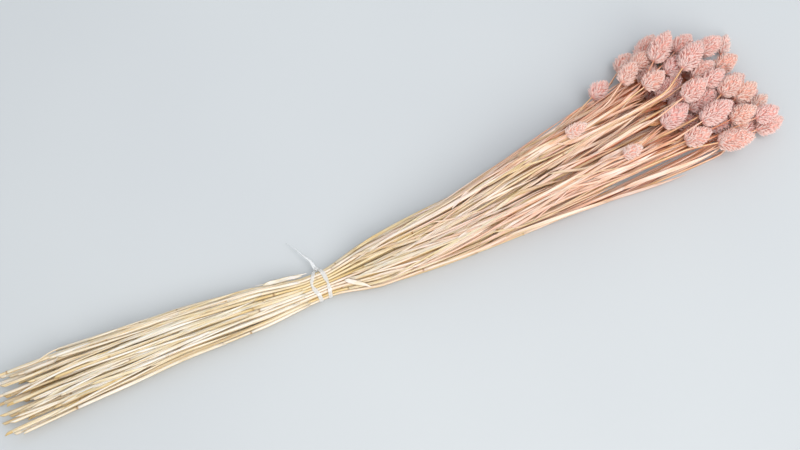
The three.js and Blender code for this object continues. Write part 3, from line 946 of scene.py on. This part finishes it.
def build_loose(bm):
    """The loose leaves: the placed ones, those beneath the heads and the strewn ones."""
    for points, wide, thick, twist, tone in LOOSE_LEAVES:
        build_leaf(bm, laid(points), wide, thick, twist, tone, seed=points[0][0])
    for number, points in enumerate(BENEATH_HEADS):
        for off in BENEATH_OFF:
            fan = [off * (BENEATH_FAN[0] + BENEATH_FAN[1] * n) for n in range(len(points))]
            line = [Vector(point) + Vector((off, across, 0)) for point, across in zip(points, fan)]
            build_leaf(bm, line, *BENEATH_LOOKS, number + off / 10)
    chance = random.Random(STREWN_SEED)
    for low, high, farthest, sway, count in STREWN:
        for n in range(count):
            start = between(low, high, share(n, EVEN_STEP))
            end = min(start + chance.uniform(*STREWN_LENGTHS), farthest)
            course = strewn_course(start, end, share(n + 0.5, STRAY_STEPS[0]), swing(chance, sway))
            widths, thick = STREWN_KINDS[chance.random() < STREWN_ROLLED]
            # Some of the strewn leaves get a little painted shade.
            build_leaf(
                bm, laid(course), chance.uniform(*widths), thick, swing(chance, STREWN_TWIST),
                chance.random() ** 2, chance.random() ** 3 * 0.5, chance.uniform(*LEAF_SEEDS))


def dress(bm, stem):
    """The sheaths of a stem, and the blades that leave some of them."""
    chance = stem.random
    before_tie, after_tie = stem.where(-TIE_HALF), stem.where(TIE_HALF)
    if stem.joints[0] > FOOT_SHEATH[1]:
        # The foot of the stem lies in the sheath of a joint that was cut away.
        build_sheath(bm, stem, FOOT_SHEATH[0], stem.joints[0] - chance.uniform(*FOOT_SHEATH_ENDS))
    for joint, end in zip(stem.joints, stem.joints[1:] + [stem.bare]):
        length = (end - joint) * chance.uniform(*SHEATH_PARTS)
        if joint < after_tie and joint + length > before_tie:
            length = before_tie - joint
            if length <= SHORTEST:
                continue
        build_sheath(bm, stem, joint + 0.5, length)
        mouth = joint + length
        if mouth > after_tie and chance.random() < BLADE_SHARE:
            reach = min(chance.uniform(*BLADE_LENGTHS), stem.length - mouth - BLADE_END)
            build_blade(
                bm, stem, mouth - BLADE_FOOT, reach, chance.uniform(*BLADE_WIDTHS), BLADE_THICK,
                swing(chance, BLADE_DRIFT), chance.uniform(*BLADE_LIFTS),
                chance.random() * 0.5)


def build_stems(row):
    """One row of stems: the bare stems, and the sheaths and leaves on them."""
    bare, dressed = new_bmesh(), new_bmesh()
    for stem in (s for s in STEMS if s.row == row):
        build_culm(bare, stem)
        build_lining(dressed, stem)
        dress(dressed, stem)
    if row == len(ROWS) - 1:
        build_loose(dressed)
    for kind, bm, material in (("straw", bare, STRAW), ("sheaths", dressed, SHEATH)):
        press_flat(bm)
        made = piece(f"stems_row_{row + 1}_{kind}", bm, material)
        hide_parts(f"stems_row_{row + 1}")
        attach(made, "root")


# The heads


def scale_template():
    """One flower scale along +Z from its root: a keeled, pointed boat of length 1."""
    bm = new_bmesh()
    bmesh.ops.create_uvsphere(bm, u_segments=SCALE_SIDES, v_segments=SCALE_SIDES, radius=0.5)
    colour_and_shade = bm.verts.layers.float_color["colour_and_shade"]
    for vert in bm.verts:
        part = vert.co.z + 0.5
        girth = math.hypot(vert.co.x, vert.co.y)
        inner = min(max(part, 0.001), 0.999)
        full = math.sin(math.pi * inner ** SCALE_FULLNESS[0]) ** SCALE_FULLNESS[1]
        side, rise = (vert.co.x / girth, vert.co.y / girth) if girth > 1e-6 else (0, 0)
        vert.co = (0.5 * full * side, 0.5 * full * max(rise, SCALE_KEEL * rise), part)
        vert[colour_and_shade] = (part, 0, 0, 1)
    bmesh.ops.recalc_face_normals(bm, faces=bm.faces)
    return as_mesh("scale", bm)


SCALE = scale_template()


def girth_at(part, radius):
    """The radius of a head at a share of its length from the neck."""
    return radius * math.sin(math.pi * min(max(part, 0), 1) ** HEAD_FULLNESS[0]) ** HEAD_FULLNESS[1]


def scale_place(chance, number, part, length, radius):
    """Where one scale stands: its foot on the core, its point forward and out."""
    foot_z = part * SCALE_FEET[0] * length + swing(chance, SCALE_FOOT_STRAY)
    foot_z = min(max(foot_z, 0.3), length * SCALE_FEET[1])
    reach = SCALE_SIZE[2] * chance.uniform(*SCALE_REACH)
    tip_z = min(foot_z + reach * SCALE_LEAN, length)
    turn = number * GOLDEN_TURN + swing(chance, SCALE_TURN_STRAY)
    out = Vector((math.cos(turn), math.sin(turn), 0))
    foot = out * SCALE_FOOT_GIRTH * girth_at(foot_z / length, radius) + UPWARD * foot_z
    flare = chance.uniform(*SCALE_FLARE) * (1 - part ** 4)
    tip = out * (girth_at(min(tip_z / length, 0.97), radius) * 0.98 + flare) + UPWARD * tip_z
    way = (tip - foot).normalized()
    side = Vector((-out.y, out.x, 0)) + out * swing(chance, SCALE_TURN_STRAY)
    face = way.cross(side.normalized()).normalized()
    if face.dot(out) < 0:
        face = -face
    size = chance.uniform(*SCALE_SIZES) * between(1, LAST_SCALE, part)
    columns = (
        face.cross(way) * SCALE_SIZE[0] * size, face * SCALE_SIZE[1] * size, way * (tip - foot).length)
    matrix = Matrix([list(row) for row in zip(*columns)]).to_4x4()
    matrix.translation = foot
    return matrix


def build_head(stem):
    """A spike of scales that lean forward, on a core darkened with painted shade."""
    chance = stem.random
    length = (stem.tip - stem.neck).length
    small = length < SMALL_HEAD
    radius = stem.radius * HEAD_GIRTHS[small]
    peach = chance.random() ** 1.5
    bm = new_bmesh()
    count = round(2 * math.pi * radius * length * 0.8 / SCALE_AREA)
    for n in range(count):
        part = (n + 0.5) / count
        matrix = scale_place(chance, n, part, length, radius)
        old = len(bm.verts)
        bm.from_mesh(SCALE)
        bm.verts.ensure_lookup_table()
        new = bm.verts[old:]
        bmesh.ops.transform(bm, matrix=matrix, verts=new)
        tone = chance.uniform(*HEAD_TONES[small])
        shown = FOOT_SHADE * (1 - smooth(part * 5)) + HEAD_PALENESS[small]
        colour_and_shade = bm.verts.layers.float_color["colour_and_shade"]
        for vert in new:
            vert[colour_and_shade] = (between(shown, 1, vert[colour_and_shade][0]), tone, peach, 1)
    # The core, seen only between the scales, is painted dark as shade.
    for vert in bmesh.ops.create_uvsphere(bm, u_segments=12, v_segments=8, radius=1)["verts"]:
        vert.co.x *= CORE_GIRTH * radius
        vert.co.y *= CORE_GIRTH * radius
        vert.co.z = (CORE_MIDDLE + CORE_HALF * vert.co.z) * length
        vert[colour_and_shade] = (CORE_SHADE, CORE_SHADE, peach, 1)
    stand = UPWARD.rotation_difference(stem.way).to_matrix().to_4x4()
    stand.translation = stem.neck
    bmesh.ops.transform(bm, matrix=stand, verts=bm.verts)
    press_flat(bm)
    made = piece(f"{stem.name}_scales", bm, SCALES)
    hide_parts(stem.name)
    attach(made, "root")


# The tie


def strap_outline(reach):
    """Even steps round the stems: each point, and the way out of the bunch there."""
    ends = [Vector((side * (count - 1) * PITCH / 2, LOWEST_ROW + row * ROW_RISE))
            for row, count in enumerate(ROWS) for side in (-1, 1)]
    ways = [Vector((math.cos(turn), math.sin(turn))) for turn in np.linspace(0, 2 * math.pi, 361)]
    points = np.array([(max(ends, key=way.dot) + way * reach)[:] for way in ways])
    places = lengths_along(points)
    even = np.linspace(0, places[-1], STRAP_STEPS + 1)
    spots = [np.interp(even, places, points[:, n]) for n in range(2)]
    out = [np.interp(even, places, [way[n] for way in ways]) for n in range(2)]
    return [(Vector(at), Vector(way).normalized()) for at, way in zip(zip(*spots), zip(*out))]


def build_strap(target, path, pinch, seed):
    """One turn of film round the stems, creased, and folded narrow in one place."""
    bm = new_bmesh()
    outline = strap_outline(STRAP_OUT - FILM_DEPTH)
    bmesh.ops.create_grid(bm, x_segments=STRAP_STEPS, y_segments=FILM_STRIPS, size=1)
    for vert in bm.verts:
        at, way = outline[round((vert.co.x + 1) / 2 * STRAP_STEPS)]
        stray = float(np.interp(at.x, *zip(*path))) * smooth((at.y + FILM_FREE[0]) / FILM_FREE[1])
        folded = math.exp(-((at.x - pinch) / PINCH_SPREAD) ** 2)
        narrow = 1 - PINCH_SHARE * folded * smooth((at.y - MIDDLE_ROW) / PINCH_OVER)
        width = vert.co.y * FILM_WIDTH / 2 * narrow
        crease = noise.noise(Vector((vert.co.y * CREASE_STEPS[0], at.x * CREASE_STEPS[1], seed)))
        crease += noise.noise(Vector((at.x * CREASE_STEPS[2], seed, 3)))
        place = Vector((stray + width + FILM_CREASES[0] * crease, at.x, at.y))
        if place.z > MIDDLE_ROW:
            start, over, off = KNOT_SIDE
            lift = FILM_CREASES[1] * crease + FILM_LIFT + (1 - narrow) * PINCH_LIFT
            place += Vector((0, *way)) * (lift + smooth((at.x - start) / over) * off)
        vert.co = place
    bmesh.ops.remove_doubles(bm, verts=bm.verts, dist=MERGE)
    bmesh.ops.recalc_face_normals(bm, faces=bm.faces)
    bmesh.ops.solidify(bm, geom=bm.faces[:] + bm.edges[:] + bm.verts[:], thickness=FILM_THICK)
    add_to(target, bm)


def ribbon(target, points, widths, rolls):
    """A flat strip of film along a soft curve through the points."""
    curve = [Vector(p) for p in points]
    line = []
    for n in range(len(curve) - 1):
        a, b = curve[n], curve[n + 1]
        before, after = curve[max(n - 1, 0)], curve[min(n + 2, len(curve) - 1)]
        for k in range(RIBBON_STEPS):
            t = k / RIBBON_STEPS
            line.append(0.5 * (
                2 * a + (b - before) * t + (2 * before - 5 * a + 4 * b - after) * t * t
                + (3 * a - before - 3 * b + after) * t ** 3
            ))
    line.append(curve[-1])
    rings = []
    for n, point in enumerate(line):
        part = n / (len(line) - 1)
        way = (line[min(n + 1, len(line) - 1)] - line[max(n - 1, 0)]).normalized()
        rings.append(Ring(
            point, way, between(*widths, part), RIBBON_THICK, part,
            roll=between(*rolls, part), fold=RIBBON_FOLD))
    tube(target, rings, LEAF_SIDES, 0)


def build_tie():
    """Two turns of film, a knot of three loops and a free tail."""
    whole = new_bmesh()
    for path, pinch, seed in FILM_TURNS:
        build_strap(whole, path, pinch, seed)
    knot = Vector(TAIL[0])
    for turn, size in KNOT_LOOPS:
        loop = []
        for k in range(LOOP_STEPS + 1):
            angle = 2 * math.pi * k / LOOP_STEPS
            loop.append(knot + Vector((
                size * math.cos(angle) * math.cos(turn),
                size * math.sin(angle) * KNOT_SQUASH + KNOT_LIFT,
                size * math.cos(angle) * math.sin(turn) + KNOT_SLANT * math.sin(angle),
            )))
        ribbon(whole, loop, LOOP_WIDTHS, (turn, turn + LOOP_TWIST))
    ribbon(whole, TAIL, TAIL_WIDTHS, TAIL_ROLLS)
    made = piece("tie_film", whole, FILM)
    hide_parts("tie")
    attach(made, "root")


# The stage

RIGHT = Vector((math.cos(BUNCH_TURN), -math.sin(BUNCH_TURN), 0))
AWAY = Vector((math.sin(BUNCH_TURN), math.cos(BUNCH_TURN), 0))


def off_from(place, right, away, height=0.0):
    """The point so far to the right of a place, up in the picture and above the table."""
    return place + RIGHT * right + AWAY * away + UPWARD * height


AIM = off_from(Vector(), *CAMERA_AIM)


def aim_light(light, place, aim):
    made = new_object(light.name, light)
    made.location = place
    made.rotation_euler = (aim - place).to_track_quat("-Z", "Y").to_euler()


def build_stage():
    """The table top, pale daylight from all round, a large window and a soft lamp."""
    bm = new_bmesh()
    bmesh.ops.create_grid(bm, x_segments=1, y_segments=1, size=TABLE_HALF / MM)
    floor = piece("table_top", bm, table_material())
    world = bpy.data.worlds.new("studio")
    bpy.context.scene.world = world
    world.use_nodes = True
    sky = world.node_tree.nodes["Background"].inputs
    sky["Color"].default_value = linear("#eaeef2")
    sky["Strength"].default_value = WORLD_STRENGTH
    window = bpy.data.lights.new("window", "AREA")
    window.size = WINDOW_SIZE
    window.energy = WINDOW_POWER
    window.color = linear("#fff8f0")[:3]
    aim_light(window, off_from(Vector(), *WINDOW_PLACE), AIM)
    lamp = bpy.data.lights.new("lamp", "SPOT")
    lamp.spot_size = 2 * math.atan(LAMP_REACH / LAMP_PLACE[2])
    lamp.spot_blend = 1
    lamp.shadow_soft_size = LAMP_SIZE
    lamp.energy = LAMP_POWER
    lamp.color = linear("#fafcff")[:3]
    pool = off_from(AIM, *POOL_OFF)
    aim_light(lamp, off_from(pool, *LAMP_PLACE), pool)


def build_camera():
    """The camera looks down at the bunch, which lies aslant in the picture."""
    back = UPWARD * math.sin(CAMERA_TILT) - AWAY * math.cos(CAMERA_TILT)
    camera = bpy.data.cameras.new("camera")
    camera.lens = LENS
    made = new_object("camera", camera)
    turn = Matrix([list(row) for row in zip(RIGHT, back.cross(RIGHT), back)]).to_4x4()
    turn.translation = AIM + back * CAMERA_DISTANCE
    made.matrix_world = turn
    bpy.context.scene.camera = made


bpy.context.scene.view_settings.view_transform = "Standard"
build_camera()
build_stage()
for row in range(len(ROWS)):
    build_stems(row)
for stem in STEMS:
    build_head(stem)
build_tie()
